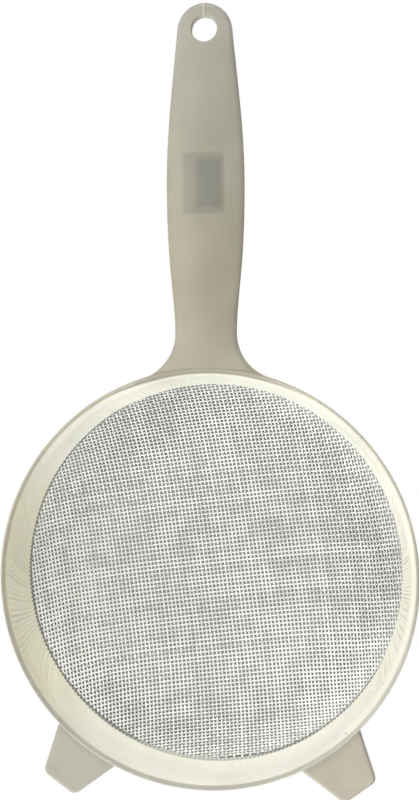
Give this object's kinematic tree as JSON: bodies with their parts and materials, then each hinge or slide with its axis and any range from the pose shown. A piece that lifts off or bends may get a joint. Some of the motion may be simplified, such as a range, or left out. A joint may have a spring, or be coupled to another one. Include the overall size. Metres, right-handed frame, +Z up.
{
  "type": "mesh strainer",
  "caption": "Round kitchen strainer: a shallow bowl of woven steel wire moulded into a translucent plastic collar with a flat handle, a hanging hole and rest tabs.",
  "frame": {"origin": "under the middle of the whole part, level with the bottom of the bowl", "axes": "+Z up with the rim level, +Y along the handle towards its tip, +X to the right seen from above"},
  "size_m": [0.16, 0.3024, 0.0559],
  "materials": {
    "frame_plastic": "translucent grey-beige moulding with a satin surface",
    "steel_wire": "bright drawn wire, woven"
  },
  "bodies": {
    "root": {"moulded_frame": "frame_plastic", "warp_wire_01": "steel_wire", "warp_wire_02": "steel_wire", "warp_wire_03": "steel_wire", "warp_wire_04": "steel_wire", "warp_wire_05": "steel_wire", "warp_wire_06": "steel_wire", "warp_wire_07": "steel_wire", "warp_wire_08": "steel_wire", "warp_wire_09": "steel_wire", "warp_wire_10": "steel_wire", "warp_wire_11": "steel_wire", "warp_wire_12": "steel_wire", "warp_wire_13": "steel_wire", "warp_wire_14": "steel_wire", "warp_wire_15": "steel_wire", "warp_wire_16": "steel_wire", "warp_wire_17": "steel_wire", "warp_wire_18": "steel_wire", "warp_wire_19": "steel_wire", "warp_wire_20": "steel_wire", "warp_wire_21": "steel_wire", "warp_wire_22": "steel_wire", "warp_wire_23": "steel_wire", "warp_wire_24": "steel_wire", "weft_wire_01": "steel_wire", "weft_wire_02": "steel_wire", "weft_wire_03": "steel_wire", "weft_wire_04": "steel_wire", "weft_wire_05": "steel_wire", "weft_wire_06": "steel_wire", "weft_wire_07": "steel_wire", "weft_wire_08": "steel_wire", "weft_wire_09": "steel_wire", "weft_wire_10": "steel_wire", "weft_wire_11": "steel_wire", "weft_wire_12": "steel_wire", "weft_wire_13": "steel_wire", "weft_wire_14": "steel_wire", "weft_wire_15": "steel_wire", "weft_wire_16": "steel_wire", "weft_wire_17": "steel_wire", "weft_wire_18": "steel_wire", "weft_wire_19": "steel_wire", "weft_wire_20": "steel_wire", "weft_wire_21": "steel_wire", "weft_wire_22": "steel_wire", "weft_wire_23": "steel_wire", "weft_wire_24": "steel_wire"}
  },
  "joints": []
}
